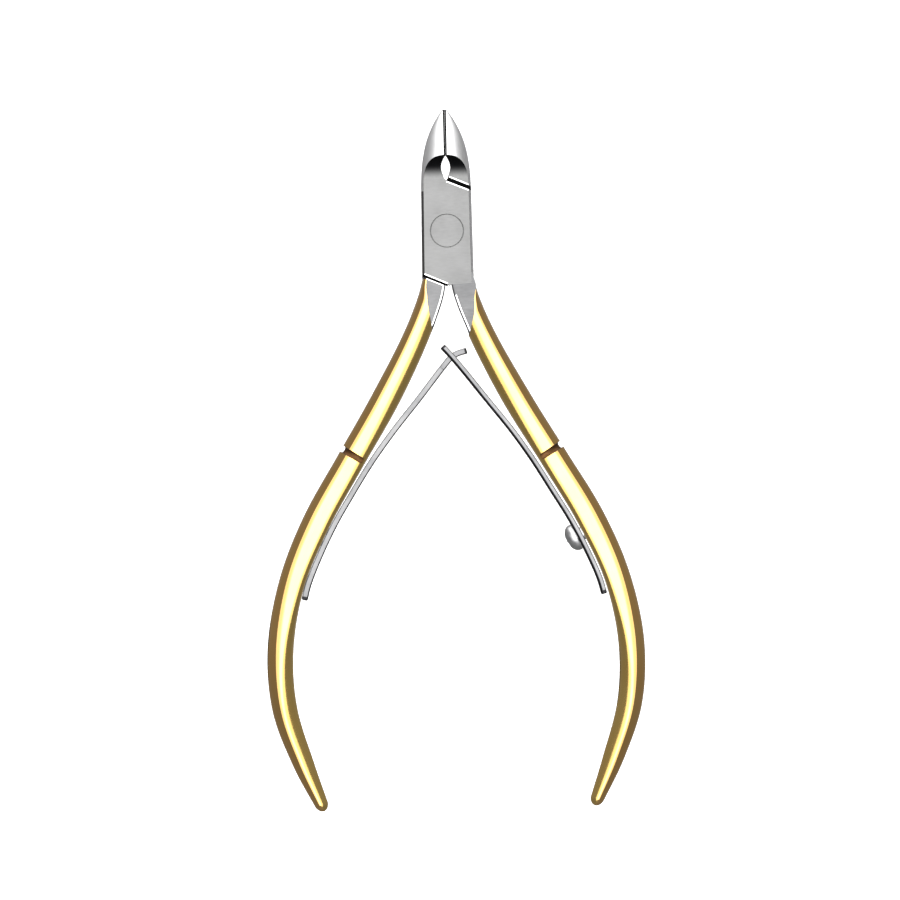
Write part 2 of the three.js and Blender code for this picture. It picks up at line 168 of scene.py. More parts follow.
# Below the tail the section's columns spread out again: turns of half a circle where they end up
SHELF_TURN, WALL_TURN, WALL_TURN_CHANGE = 0.67, 0.97, 0.14
CREST_BELOW_PLATE = 0.05
CREST_COLUMNS = 24
INNER_COLUMNS, TAIL_COLUMNS, WALL_COLUMNS = 12, 8, 8
HANDLE_RINGS = 260
HANDLE_RING_BIAS = 1.15
HANDLE_END_ROUND = 0.015
HANDLE_END_RINGS = 14
GROOVE_Y = -33.5
GROOVE_WIDTH = 0.95
GROOVE_RING_RADIUS = 2.57
GROOVE_RING_OFFSET = -0.97
GROOVE_RING_WALL = 2.5
GROOVE_RING_FLARE = 1.3
GROOVE_RING_SEGMENTS = 160
GROOVE_ROUND = 0.22
GROOVE_STEPS = 10
GROOVE_TILT = math.radians(1)

# ---- springs --------------------------------------------------------------------------------

SPRING_THICKNESS = 0.9
SPRING_WIDTH = 5.0
SPRING_NECK_WIDTH = 4.2
SPRING_EDGE_RADIUS = 0.16
SPRING_GROUND_EDGE = 0.38
# Length of the near-black painted shade at the springs' ends
SPRING_PAINTED_SHADE_END_LENGTH = 0.45
SPRING_SAMPLES = 1500
CORNER_STEPS = 5
CORNER_HEIGHT = 1.6
CORNER_SHARES = (0.45, 0.2)
STRIP_RINGS_PER_MM = 5
STRIP_END_SHARES = (0.0, 0.3, 0.6, 0.85, 1.0)
SPRING_BASE = [(22.5, -55.1), (21.8, -52.6), (19.6, -47.5), (17.55, -43.5), (15.45, -40.0), (12.1, -34.5)]
TONGUE_END = [(8.6, -29.8), (4.9, -25.3), (1.0, -20.4), (-0.2, -19.05), (-1.2, -18.45), (-2.6, -18.05)]
SLOT_END = [(9.0, -30.0), (5.5, -25.5), (2.1, -21.1), (0.15, -18.7), (-1.05, -17.35)]
TONGUE_LENGTH = 4.7
TONGUE_WIDTH = 1.4
TONGUE_ROOT = 1
SLOT_WIDTH = 2.2
SLOT_LENGTH = 5.4
SLOT_END_BRIDGE = 0.9
SLOT_CUTTER_DEPTH = 5.4
SPRING_GRIP_Y = -40
SPRING_MEET_Y = -18.9
# How much nearer its handle the left spring's base lies than its CAD solid
TONGUE_SPRING_SHIFT = 0.17

# ---- screws ---------------------------------------------------------------------------------

SCREW_Y = -46.2
SHANK_RADIUS = 1.0
SHANK_LENGTH = 3.1
SCREW_GAP = 0.15
PAN_HEAD_RADIUS = 2.05
PAN_HEAD_HEIGHT = 1.5
PAN_HEAD_RIM = 0.35
PAN_HEAD_CLEARANCE = 0.05
PAN_HEAD_EASE = 0.08
PAN_HEAD_STEPS = 18
FLUSH_HEAD_RADIUS = 1.75
FLUSH_HEAD_EASE = 0.06
HOLE_REACH = 2
SCREW_SEGMENTS = 64
RECESS_LENGTH = 2.0
RECESS_WIDTH = 0.5
RECESS_DEPTH = 0.7

FRONT = "front_lever_body"
REAR = "rear_lever_body"

FINISHES = ("satin", "gold", "polish", "groove", "tail", "lap", "scoop", "jaw", "spring", "spring_edge",
            "spring_face", "gold_inner")
(PLATE, GOLD, POLISH, GROOVE_PAINTED_SHADE, TAIL, LAP_PAINTED_SHADE, SCOOP, JAW, SPRING, SPRING_EDGE_PAINTED_SHADE, SPRING_FACE_PAINTED_LIGHT,
 GOLD_INNER_PAINTED_LIGHT) = range(len(FINISHES))


# ---- studio ---------------------------------------------------------------------------------

FRAME_WIDTH = 135.5
CAMERA_CENTRE = (-0.26, -32.97)
CAMERA_ROLL = math.radians(-1.25)
CAMERA_HEIGHT = 1300
CAMERA_CLIP = (0.01, 50)
SENSOR = 36
FOCUS_Z = 5
FLOOR_Z = -6
FLOOR_HALF_SIZE = 3.0
FLOOR_GLOW = 0.6


def make_camera():
    data = bpy.data.cameras.new("camera")
    data.sensor_width = SENSOR
    data.lens = SENSOR * (CAMERA_HEIGHT - FOCUS_Z) / FRAME_WIDTH
    data.clip_start, data.clip_end = CAMERA_CLIP
    camera = bpy.data.objects.new("camera", data)
    scene.collection.objects.link(camera)
    camera.location = Vector((*CAMERA_CENTRE, CAMERA_HEIGHT)) * MM
    camera.rotation_euler = (0, 0, CAMERA_ROLL)
    scene.camera = camera


def make_floor():
    size = FLOOR_HALF_SIZE
    mesh = bpy.data.meshes.new("floor")
    corners = [(-size, -size), (size, -size), (size, size), (-size, size)]
    mesh.from_pydata([(x, y, FLOOR_Z * MM) for x, y in corners], [], [(0, 1, 2, 3)])
    floor = bpy.data.objects.new("floor", mesh)
    scene.collection.objects.link(floor)
    material = bpy.data.materials.new("floor_white")
    material.use_nodes = True
    shader = material.node_tree.nodes["Principled BSDF"]
    shader.inputs["Base Color"].default_value = (0.9, 0.9, 0.9, 1)
    shader.inputs["Roughness"].default_value = 0.8
    shader.inputs["Emission Color"].default_value = (1, 1, 1, 1)
    shader.inputs["Emission Strength"].default_value = FLOOR_GLOW
    floor.data.materials.append(material)
    floor.visible_glossy = False


class Graph:
    """Short names for building a shader's nodes."""

    def __init__(self, tree):
        self.tree = tree

    def node(self, kind, **settings):
        made = self.tree.nodes.new(kind)
        for name, value in settings.items():
            setattr(made, name, value)
        return made

    def link(self, source, target):
        self.tree.links.new(source, target)

    def feed(self, node, index, value):
        if isinstance(value, (int, float)):
            node.inputs[index].default_value = value
        else:
            self.link(value, node.inputs[index])

    def math(self, operation, a, b=0.0):
        made = self.node("ShaderNodeMath", operation=operation)
        self.feed(made, 0, a)
        self.feed(made, 1, b)
        return made.outputs[0]

    def step(self, value, low, high, out_low=0.0, out_high=1.0):
        made = self.node("ShaderNodeMapRange", interpolation_type="SMOOTHSTEP")
        self.feed(made, 0, value)
        for index, number in enumerate((low, high, out_low, out_high), start=1):
            self.feed(made, index, number)
        return made.outputs[0]

    def blend(self, share, a, b):
        made = self.node("ShaderNodeMix", data_type="FLOAT")
        for index, value in ((0, share), (2, a), (3, b)):
            self.feed(made, index, value)
        return made.outputs[0]

    def mix(self, share, a, b):
        made = self.node("ShaderNodeMix", data_type="RGBA")
        self.feed(made, 0, share)
        for index, value in ((6, a), (7, b)):
            if isinstance(value, tuple):
                made.inputs[index].default_value = (*value, 1)
            else:
                self.link(value, made.inputs[index])
        return made.outputs[2]


# Light by direction. Angles are degrees from straight up, with the fade's start and end;
# the other fades are shares of the level direction, forward being +Y and rightward +X.
CORE_LIGHT, CORE_ANGLES = 5.0, (36, 16)
SOFTBOX_LIGHT, SOFTBOX_ANGLES = 1.9, (61, 58)
SIDE_LIGHT, SIDE_FORWARD = (0.235, 0.3), (-0.3, 0.3)
LOW_LIGHT, LOW_ANGLES = 0.36, (138, 155)
LEFT_LOW_LIGHT, LEFT_RIGHTWARD = 0.04, (-0.998, -0.985)
JAW_END_LIGHT, JAW_END_FORWARD = 3.0, (0.55, 0.8)
JAW_END_LOW_ANGLES, JAW_END_HIGH_ANGLES = (120, 105), (24, 40)
DIM_END_LIGHT, DIM_END_FORWARD = 0.3, (-0.72, -0.9)
DIM_END_LOW_ANGLES, DIM_END_HIGH_ANGLES = (115, 95), (26, 42)
BACKDROP = 1.0


def make_world():
    """A softbox overhead with a bright core, a bright wall beyond the jaws, a dim end, dim sides."""
    world = bpy.data.worlds.new("studio")
    scene.world = world
    world.use_nodes = True
    g = Graph(world.node_tree)
    world.node_tree.nodes.clear()
    way = g.node("ShaderNodeTexCoord").outputs["Generated"]
    split = g.node("ShaderNodeSeparateXYZ")
    g.link(way, split.inputs[0])
    x, y, z = split.outputs
    level = g.math("SQRT", g.math("ADD", g.math("MULTIPLY", x, x), g.math("MULTIPLY", y, y)))
    forward = g.math("DIVIDE", y, g.math("ADD", level, 0.001))
    rightward = g.math("DIVIDE", x, g.math("ADD", level, 0.001))

    def within(angles):
        return g.step(z, *(math.cos(math.radians(angle)) for angle in angles))

    def end_wall(forward_range, low_angles, high_angles):
        wall = g.math("MULTIPLY", g.step(forward, *forward_range), within(low_angles))
        return g.math("MULTIPLY", wall, within(high_angles))

    light = g.blend(within(SOFTBOX_ANGLES), g.step(forward, *SIDE_FORWARD, *SIDE_LIGHT), SOFTBOX_LIGHT)
    light = g.blend(within(CORE_ANGLES), light, CORE_LIGHT)
    low_light = g.step(rightward, *LEFT_RIGHTWARD, LEFT_LOW_LIGHT, LOW_LIGHT)
    light = g.blend(within(LOW_ANGLES), light, low_light)
    jaw_end = end_wall(JAW_END_FORWARD, JAW_END_LOW_ANGLES, JAW_END_HIGH_ANGLES)
    light = g.blend(jaw_end, light, JAW_END_LIGHT)
    dim_end = end_wall(DIM_END_FORWARD, DIM_END_LOW_ANGLES, DIM_END_HIGH_ANGLES)
    light = g.blend(dim_end, light, DIM_END_LIGHT)
    seen = g.node("ShaderNodeLightPath").outputs["Is Camera Ray"]
    background = g.node("ShaderNodeBackground")
    g.link(g.blend(seen, light, BACKDROP), background.inputs["Strength"])
    output = g.node("ShaderNodeOutputWorld")
    g.link(background.outputs[0], output.inputs[0])


# ---- materials ------------------------------------------------------------------------------

# Near-black colour of the painted dark reflection in the ground hollow
PAINTED_DARK_REFLECTION_COLOUR = (0.012, 0.012, 0.013)
BROAD_GRAIN = 160
BROAD_RANGE = (0.35, 0.65)
FINE_RANGE = (0.3, 0.7)
RELIEF_DISTANCE = 0.00002
# How much finer the grain is along X, Y and Z
EVEN = (1, 1, 1)
FINE_X, FINE_Y, FINE_Z = (8, 1, 1), (1, 8, 1), (1, 1, 8)
JAW_GRAIN = (1, 6, 1)
SPRING_GRAIN = (1, 1, 10)

# Finish: material name, colour, second colour, roughness and its spread, grain and its direction, relief
METALS = {
    "satin": ("satin_steel", (0.166, 0.166, 0.165), (0.156, 0.156, 0.155), 0.4, 0.04, 900, FINE_Y, 0.08),
    "gold": ("gold_plating", (0.98, 0.61, 0.22), (0.96, 0.58, 0.2), 0.07, 0.02, 2500, EVEN, 0.03),
    "polish": ("polished_steel", (0.86, 0.86, 0.86), (0.8, 0.8, 0.81), 0.12, 0.03, 1500, EVEN, 0.02),
    # A dark brown copy of the gold in the finger groove: painted shade in the recess
    "groove": ("groove_recess", (0.16, 0.075, 0.03), (0.1, 0.05, 0.02), 0.5, 0.1, 3000, EVEN, 0.2),
    "tail": ("ground_tail", (0.15, 0.15, 0.152), (0.13, 0.13, 0.132), 0.4, 0.05, 900, FINE_Y, 0.12),
    # Near black on the faces inside the lap joint's gaps, the seam and the relief: painted shade
    "lap": ("lap_faces", (0.004, 0.004, 0.004), (0.003, 0.003, 0.003), 0.5, 0.05, 900, FINE_Z, 0.1),
    "scoop": ("ground_hollow", (0.166, 0.166, 0.165), (0.156, 0.156, 0.155), 0.36, 0.04, 900, FINE_X, 0.08),
    "jaw": ("jaw_polish", (0.88, 0.88, 0.88), (0.84, 0.84, 0.845), 0.46, 0.03, 1500, JAW_GRAIN, 0.05),
    # The same spring steel in a darker copy on the narrow faces and outer rounded edges and a lighter copy
    # on the wide flat faces: painted light and shade
    "spring": ("spring_steel", (0.19, 0.19, 0.193), (0.165, 0.165, 0.168), 0.3, 0.05, 1200,
               SPRING_GRAIN, 0.1),
    # Near black on the strips' ends and inner rounded edges: painted shade
    "spring_edge": ("spring_dark_edge", (0.03, 0.03, 0.032), (0.02, 0.02, 0.021), 0.35, 0.05, 1200,
                    SPRING_GRAIN, 0.1),
    "spring_face": ("spring_flat_face", (0.6, 0.6, 0.61), (0.52, 0.52, 0.53), 0.28, 0.05, 1200,
                    SPRING_GRAIN, 0.1),
    # A lighter, yellower copy of the gold on the handles' inner halves: painted light
    "gold_inner": ("inner_gold_plating", (1.0, 0.69, 0.22), (0.98, 0.66, 0.2), 0.2, 0.02, 2500, EVEN, 0.03),
    "screw": ("screw_steel", (0.62, 0.62, 0.625), (0.54, 0.54, 0.55), 0.42, 0.06, 2000, EVEN, 0.1),
}
# Finishes with a painted dark reflection that grows along Y
PAINTED_DARK_REFLECTION_ALONG_Y = {"scoop": SCOOP_PAINTED_DARK_Y}


def metal(name, colour, other, roughness, spread, grain, grain_stretch, bump, painted_dark_towards_y=None):
    """A metal whose colour and roughness vary in a fine stretched grain, and that may carry a painted dark
    reflection growing along Y.
    """
    material = bpy.data.materials.new(name)
    material.use_nodes = True
    g = Graph(material.node_tree)
    shader = material.node_tree.nodes["Principled BSDF"]
    shader.inputs["Metallic"].default_value = 1
    place = g.node("ShaderNodeTexCoord").outputs["Object"]
    stretch = g.node("ShaderNodeMapping")
    stretch.inputs["Scale"].default_value = grain_stretch
    g.link(place, stretch.inputs["Vector"])
    fine = g.node("ShaderNodeTexNoise")
    fine.inputs["Scale"].default_value = grain
    fine.inputs["Detail"].default_value = 4
    g.link(stretch.outputs[0], fine.inputs["Vector"])
    broad = g.node("ShaderNodeTexNoise")
    broad.inputs["Scale"].default_value = BROAD_GRAIN
    broad.inputs["Detail"].default_value = 3
    g.link(place, broad.inputs["Vector"])
    base = g.mix(g.step(broad.outputs[0], *BROAD_RANGE), colour, other)
    # Painted dark reflection: the base colour fades to near black along Y
    if painted_dark_towards_y:
        start, end = painted_dark_towards_y
        split = g.node("ShaderNodeSeparateXYZ")
        g.link(place, split.inputs[0])
        base = g.mix(g.step(split.outputs[1], start * MM, end * MM), base, PAINTED_DARK_REFLECTION_COLOUR)
    g.link(base, shader.inputs["Base Color"])
    rough = g.math("ADD", g.step(fine.outputs[0], *FINE_RANGE, roughness - spread, roughness + spread),
                   g.step(broad.outputs[0], *FINE_RANGE, -spread / 2, spread / 2))
    g.link(rough, shader.inputs["Roughness"])
    relief = g.node("ShaderNodeBump")
    relief.inputs["Strength"].default_value = bump
    relief.inputs["Distance"].default_value = RELIEF_DISTANCE
    g.link(fine.outputs[0], relief.inputs["Height"])
    g.link(relief.outputs[0], shader.inputs["Normal"])
    return material


def make_materials():
    return {finish: metal(*settings, PAINTED_DARK_REFLECTION_ALONG_Y.get(finish)) for finish, settings in METALS.items()}


# ---- curves and meshes ----------------------------------------------------------------------

def catmull_rom(points, t):
    """A centripetal Catmull-Rom curve through points, at t from 0 to 1, as (value, derivative)."""
    points = np.array(points, float)
    ends = (2 * points[0] - points[1], 2 * points[-1] - points[-2])
    padded = np.vstack([ends[0], points, ends[1]])
    place = min(max(t, 0.0), 1.0) * (len(points) - 1)
    i = min(int(place), len(points) - 2)
    s = place - i
    p0, p1, p2, p3 = padded[i:i + 4]
    d0, d1, d2 = (max(np.linalg.norm(b - a), 1e-9) ** 0.5 for a, b in ((p0, p1), (p1, p2), (p2, p3)))
    m1 = ((p1 - p0) / d0 - (p2 - p0) / (d0 + d1) + (p2 - p1) / d1) * d1
    m2 = ((p2 - p1) / d1 - (p3 - p1) / (d1 + d2) + (p3 - p2) / d2) * d1
    a = 2 * (p1 - p2) + m1 + m2
    b = -3 * (p1 - p2) - 2 * m1 - m2
    return ((a * s + b) * s + m1) * s + p1, (3 * a * s + 2 * b) * s + m1


def bezier(control, t):
    weights = ((1 - t) ** 3, 3 * t * (1 - t) ** 2, 3 * t * t * (1 - t), t ** 3)
    return tuple(sum(w * p[axis] for w, p in zip(weights, control)) for axis in (0, 1))


def smoothstep(value, low, high):
    t = min(max((value - low) / (high - low), 0.0), 1.0)
    return t * t * (3 - 2 * t)


def power(value, squareness):
    return 0.0 if abs(value) < 1e-9 else math.copysign(abs(value) ** (2 / squareness), value)


def make_object(name, points, faces, finish=0):
    """A mesh object from points in millimetres, its faces turned outward."""
    mesh = bpy.data.meshes.new(name)
    mesh.from_pydata([tuple(np.array(p, float) * MM) for p in points], [], faces)
    made = bpy.data.objects.new(name, mesh)
    scene.collection.objects.link(made)
    finish_of = finish if isinstance(finish, list) else [finish] * len(faces)
    mesh.polygons.foreach_set("material_index", finish_of)
    work = bmesh.new()
    work.from_mesh(mesh)
    bmesh.ops.remove_doubles(work, verts=work.verts, dist=1e-7)
    bmesh.ops.recalc_face_normals(work, faces=work.faces)
    work.to_mesh(mesh)
    work.free()
    return made


def loft(name, rings, finish=0, finish_at=None):
    """A closed mesh through rings of equally many points, capped at both ends."""
    count = len(rings[0])
    points = [p for ring in rings for p in ring]
    faces = []
    for r in range(len(rings) - 1):
        for i in range(count):
            j = (i + 1) % count
            faces.append((r * count + i, r * count + j, (r + 1) * count + j, (r + 1) * count + i))
    faces.append(tuple(range(count)))
    last = (len(rings) - 1) * count
    faces.append(tuple(range(last + count - 1, last - 1, -1)))
    if finish_at:
        finish = [finish_at(r, i) for r in range(len(rings) - 1) for i in range(count)] + [finish, finish]
    return make_object(name, points, faces, finish)


def lathe(name, profile, place, axis, segments=64, finish=0):
    """Turns a profile of (radius, height) about an axis; it starts and ends on that axis."""
    axis = Vector(axis).normalized()
    turn = Vector((0, 0, 1)).rotation_difference(axis)
    points = [place + turn @ Vector((0, 0, profile[0][1]))]
    for radius, height in profile[1:-1]:
        for i in range(segments):
            angle = 2 * math.pi * i / segments
            local = Vector((radius * math.cos(angle), radius * math.sin(angle), height))
            points.append(place + turn @ local)
    points.append(place + turn @ Vector((0, 0, profile[-1][1])))
    rows = len(profile) - 2
    faces = []
    for i in range(segments):
        j = (i + 1) % segments
        faces.append((0, 1 + j, 1 + i))
        for r in range(rows - 1):
            a, b = 1 + r * segments, 1 + (r + 1) * segments
            faces.append((a + i, a + j, b + j, b + i))
        top = 1 + (rows - 1) * segments
        faces.append((top + i, top + j, len(points) - 1))
    return make_object(name, points, faces, finish)


def box_solid(name, centre, axes, sizes):
    """A box on three given axes, used as a cutter."""
    corners = []
    for i in (-0.5, 0.5):
        for j in (-0.5, 0.5):
            for k in (-0.5, 0.5):
                offset = Vector(axes[0]) * sizes[0] * i + Vector(axes[1]) * sizes[1] * j
                corners.append(Vector(centre) + offset + Vector(axes[2]) * sizes[2] * k)
    faces = [(0, 1, 3, 2), (4, 6, 7, 5), (0, 4, 5, 1), (2, 3, 7, 6), (0, 2, 6, 4), (1, 5, 7, 3)]
    return make_object(name, corners, faces)


def combine(target, other, operation):
    """Joins or cuts target with other, which is then removed. Faces keep their finish."""
    for piece in (target, other):
        while len(piece.data.materials) < len(finishes):
            piece.data.materials.append(finishes[len(piece.data.materials)])
    step = target.modifiers.new("combine", "BOOLEAN")
    step.operation = operation
    step.object = other
    step.solver = "MANIFOLD"
    graph = bpy.context.evaluated_depsgraph_get()
    result = bpy.data.meshes.new_from_object(target.evaluated_get(graph))
    target.modifiers.clear()
    target.data = result
    bpy.data.objects.remove(other)
    if not result.polygons:
        raise RuntimeError("a cut or join left nothing of " + target.name)


def keep_used_finishes(piece):
    """Drops the finishes that no face of the piece has."""
    faces = piece.data.polygons
    indices = [face.material_index for face in faces]
    used = sorted(set(indices))
    kept = [piece.data.materials[index] for index in used]
    piece.data.materials.clear()
    for material in kept:
        piece.data.materials.append(material)
    faces.foreach_set("material_index", [used.index(index) for index in indices])


def finish_shading(piece, angle=28):
    """Smooth shading with crisp edges above angle, and no piece showing in another's reflections."""
    work = bmesh.new()
    work.from_mesh(piece.data)
    bmesh.ops.remove_doubles(work, verts=work.verts, dist=2e-7)
    bmesh.ops.dissolve_degenerate(work, edges=work.edges, dist=2e-7)
    for face in work.faces:
        face.smooth = True
    limit = math.radians(angle)
    for edge in work.edges:
        edge.smooth = len(edge.link_faces) == 2 and edge.calc_face_angle(0) < limit
    work.to_mesh(piece.data)
    work.free()
    keep_used_finishes(piece)
    piece.visible_glossy = False


def mirror_x(piece):
    piece.data.transform(Matrix.Scale(-1, 4, (1, 0, 0)))
    piece.data.flip_normals()


# ---- head -----------------------------------------------------------------------------------

def prism(name, outline, z0, z1, finish=PLATE):
    """A plan outline raised from z0 to z1."""
    return loft(name, [[(x, y, z) for x, y in outline] for z in (z0, z1)], finish)


def side_prism(name, outline, finish=PLATE):
    """A side outline, drawn as (y, z), run across the whole width of the tool."""
    return loft(name, [[(x, y, z) for y, z in outline] for x in (-FAR, FAR)], finish)


def edge_chamfer(piece, ends, z):
    """Takes a narrow shallow chamfer off a straight level edge."""
    p, q = (Vector((x, y, z)) for x, y in ends)
    along = (q - p).normalized()
    width, depth = SHOULDER_CHAMFER
    across = Vector((along.y, -along.x, 0)) * width
    up = Vector((0, 0, depth))
    rings = [[end + across, end + up, end - across, end - up] for end in (p, q)]
    combine(piece, loft("chamfer", rings, POLISH), "DIFFERENCE")


def back_z(y, share):
    """The back face: it tapers to the tip and is ground hollow beside the cutting edges."""
    taper = max(0.0, BACK_TAPER_TIP_Z * (y - BACK_TAPER_START_Y) / (JAW_TIP_Y - BACK_TAPER_START_Y))
    start, full, fading, end = BACK_HOLLOW_Y
    hollow = BACK_HOLLOW * smoothstep(y, start, full) * (1 - smoothstep(y, fading, end))
    return taper + hollow * math.sqrt(max(0.0, 1 - min(1.0, share / BACK_HOLLOW_SHARE) ** 2))


def head_ring(y, width):
    """A section across the head: round in front, straight sides, a flat or hollow back."""
    side, corner, back = HEAD_SIDE_STEPS, HEAD_CORNER_STEPS, HEAD_BACK_STEPS
    ring = []
    for i in range(HEAD_FRONT_STEPS + 1):
        turn = math.pi * i / HEAD_FRONT_STEPS
        ring.append((width * math.cos(turn), y, JAW_AXIS_Z + width * math.sin(turn)))
    fillet = min(BACK_FILLET, width * BACK_FILLET_SHARE)
    low = back_z(y, 1.0)
    half = [(width, JAW_AXIS_Z + (low + fillet - JAW_AXIS_Z) * i / side) for i in range(1, side + 1)]
    for i in range(1, corner + 1):
        turn = math.pi / 2 * i / corner
        x = width - fillet + fillet * math.cos(turn)
        half.append((x, back_z(y, x / width) + fillet * (1 - math.sin(turn))))
    for i in range(1, back // 2):
        x = (width - fillet) * (1 - 2 * i / back)
        half.append((x, back_z(y, x / width)))
    ring += [(-x, y, z) for x, z in half]
    ring.append((0.0, y, back_z(y, 0.0)))
    ring += [(x, y, z) for x, z in reversed(half)]
    return ring


def head_blank():
    """Both jaws and the joint in one: its top is still round where the plate is ground flat."""
    rings = [head_ring(y, PLATE_FOOT_HALF_WIDTH) for y in (HEAD_BLANK_END_Y, PLATE_FOOT_Y)]
    for i in range(JAW_ROWS + 1):
        width, y = bezier(JAW_OUTLINE, i / JAW_ROWS)
        rings.append(head_ring(y, width))

    def finish_at(r, i):
        beside_plate = rings[r][i][1] < PLATE_TOP_Y
        return PLATE if beside_plate and rings[r][i][0] < 0 else JAW

    return loft("head", rings, JAW, finish_at)


def grind_front(piece):
    """Grinds the plate flat, and the hollow that rises to the jaws' ridge."""
    flat = [(-FAR, FAR), (-FAR, JOINT_THICKNESS), (SCOOP_START_Y, JOINT_THICKNESS), (SCOOP_START_Y, FAR)]
    combine(piece, side_prism("plate_grinding", flat, PLATE), "DIFFERENCE")
    outline = [(SCOOP_START_Y - 0.01, FAR), (SCOOP_START_Y - 0.01, JOINT_THICKNESS)]
    for i in range(SCOOP_STEPS + 1):
        turn = math.pi / 2 * i / SCOOP_STEPS
        outline.append((SCOOP_START_Y + SCOOP_RADIUS * math.sin(turn),
                        JOINT_THICKNESS + SCOOP_RADIUS * (1 - math.cos(turn))))
    outline.append((SCOOP_START_Y + SCOOP_RADIUS, FAR))
    combine(piece, side_prism("scoop_grinding", outline, SCOOP), "DIFFERENCE")


def seam_groove(piece):
    """The V between the rounded jaws, down to the cutting edges; the left jaw's half of it."""
    deep, shallow = SEAM_DEPTH_Z
    edge = -SEAM_HALF_WIDTH
    section = [(edge, FAR), (edge, shallow), (-EDGE_HALF_GAP, deep), (1, deep), (1, FAR)]
    rings = [[(x, y, z) for x, z in section] for y in (RELIEF_ENDS_Y[0], FAR)]
    # The seam's faces get the near-black lap finish: painted shade
    combine(piece, loft("seam", rings, LAP_PAINTED_SHADE), "DIFFERENCE")


def seam_relief(piece):
    """The lens-shaped hole between the jaws, above the joint."""
    low, high = RELIEF_ENDS_Y
    right = []
    for i in range(RELIEF_STEPS + 1):
        t = i / RELIEF_STEPS
        right.append((4 * t * (1 - t) * RELIEF_HALF_WIDTH, low + (high - low) * t))
    left = [(-x, y) for x, y in reversed(right[1:-1])]
    # The relief's walls get the near-black lap finish: painted shade
    combine(piece, prism("relief", right + left, -1, FAR, LAP_PAINTED_SHADE), "DIFFERENCE")


def rivet_hole(piece):
    head = RIVET_RADIUS + RIVET_GAP
    shank = RIVET_SHANK_RADIUS + RIVET_GAP
    seat = RIVET_HEAD_DEPTH + RIVET_GAP
    top = JOINT_THICKNESS
    wide = head + RIVET_CHAMFER + 1
    profile = [(0, -1), (wide, -1), (head, RIVET_CHAMFER), (head, seat), (shank, seat),
               (shank, top - seat), (head, top - seat), (head, top - RIVET_CHAMFER),
               (wide, top + 1), (0, top + 1)]
    combine(piece, lathe("hole", profile, Vector(), (0, 0, 1), ROUND_SEGMENTS, PLATE), "DIFFERENCE")


# ---- handles --------------------------------------------------------------------------------

def handle_point(t):
    """Centre, direction and outward direction of a handle at t, from root to tip, drawn on +X."""
    centre, along = catmull_rom([s[:2] for s in HANDLE_STATIONS], t)
    along = along / np.linalg.norm(along)
    return Vector((*centre, MIDDLE)), Vector((*along, 0)), Vector((-along[1], along[0], 0))


def flowing(table, y):
    """A table's numbers at y, on smooth curves through its rows."""
    rows = np.array(table)
    places, values = rows[:, 0], rows[:, 1:]
    y = min(max(y, places[-1]), places[0])
    slopes = np.gradient(values, places, axis=0)
    i = min(int(np.searchsorted(-places, -y, side="right")) - 1, len(places) - 2)
    span = places[i + 1] - places[i]
    t = (y - places[i]) / span
    rise = values[i + 1] - values[i]
    m0, m1 = slopes[i] * span, slopes[i + 1] * span
    return values[i] + t * (m0 + t * (3 * rise - 2 * m0 - m1 + t * (m0 + m1 - 2 * rise)))


def section_point(turn, crest, inner, outer):
    """A point of the section's front half, as shares of the half width and half depth."""
    side = math.cos(turn)
    squareness = outer if side > 0 else inner
    reach = 1 - crest if side > 0 else 1 + crest
    return Vector((crest + reach * power(side, squareness), power(math.sin(turn), squareness)))


def tail_end(hand):
    return TAILS[hand][-1][0]


def inner_turns(y, hand, crest, inner):
    """Where round the section's inner half the tail's edge and its wall stand."""
    edge, _ = flowing(TAILS[hand], y)
    share = min(max((crest - edge) / (1 + crest), 0.0), TAIL_EDGE_LIMIT)
    start = math.acos(-(share ** (inner / 2)))
    fade = smoothstep(-y, -tail_end(hand), TAIL_FADE_LENGTH - tail_end(hand))
    return start + (math.pi * SHELF_TURN - start) * fade, math.pi * (WALL_TURN - WALL_TURN_CHANGE * fade)


def tail_points(edge, wall, height, half_width, half_depth):
    """The tail's level shelf, its bevels and its inner wall, in shares of the section."""
    points = [Vector((edge, height))]
    shelf_end, _ = TAIL_BEVELS[0]
    last = min(wall + shelf_end / half_width, edge)
    flat = TAIL_COLUMNS - 1
    points += [Vector((edge + (last - edge) * i / flat, height)) for i in range(1, flat)]
    for inward, drop in TAIL_BEVELS:
        points.append(Vector((min(wall + inward / half_width, edge), height - drop / half_depth)))
    below = points[-1].y
    steps = WALL_COLUMNS - len(TAIL_BEVELS) + 1
    return points + [Vector((wall, below * (1 - i / steps))) for i in range(1, steps)]


def handle_ring(t, closing, hand):
    """One section: an oval, with the tail's flat shelf in its inner half at the handle's root."""
    centre, along, outward = handle_point(t)
    (half_width, half_depth), _ = catmull_rom([s[2:] for s in HANDLE_STATIONS], t)
    y = centre.y
    crest, inner, outer = flowing(HANDLE_SECTIONS, y)
    in_tail = y > tail_end(hand)
    half_depth = min(half_depth, MIDDLE - CREST_BELOW_PLATE)
    wall = -1.0
    if in_tail:
        edge, wall = flowing(TAILS[hand], y)
        crest = max(crest, edge + 0.01)
    start, stop = inner_turns(y, hand, crest, inner)
    top = math.pi / 2

    def arc(low, high, columns, last=0):
        turns = (low + (high - low) * i / columns for i in range(columns + last))
        return [section_point(turn, crest, inner, outer) for turn in turns]

    points = arc(0, top, CREST_COLUMNS) + arc(top, start, INNER_COLUMNS, last=int(in_tail))
    if in_tail:
        height = (MIDDLE - TAIL_DROP - TAIL_SLOPE * max(0.0, TAIL_TOP_Y - y)) / half_depth
        points += tail_points(edge, wall, height, half_width, half_depth)
    else:
        points += arc(start, stop, TAIL_COLUMNS) + arc(stop, math.pi, WALL_COLUMNS)
    ring = points + [Vector((wall, 0))] + [Vector((p.x, -p.y)) for p in reversed(points[1:])]
    return [centre + outward * half_width * closing * p.x + Vector((0, 0, half_depth * closing * p.y))
            for p in ring]


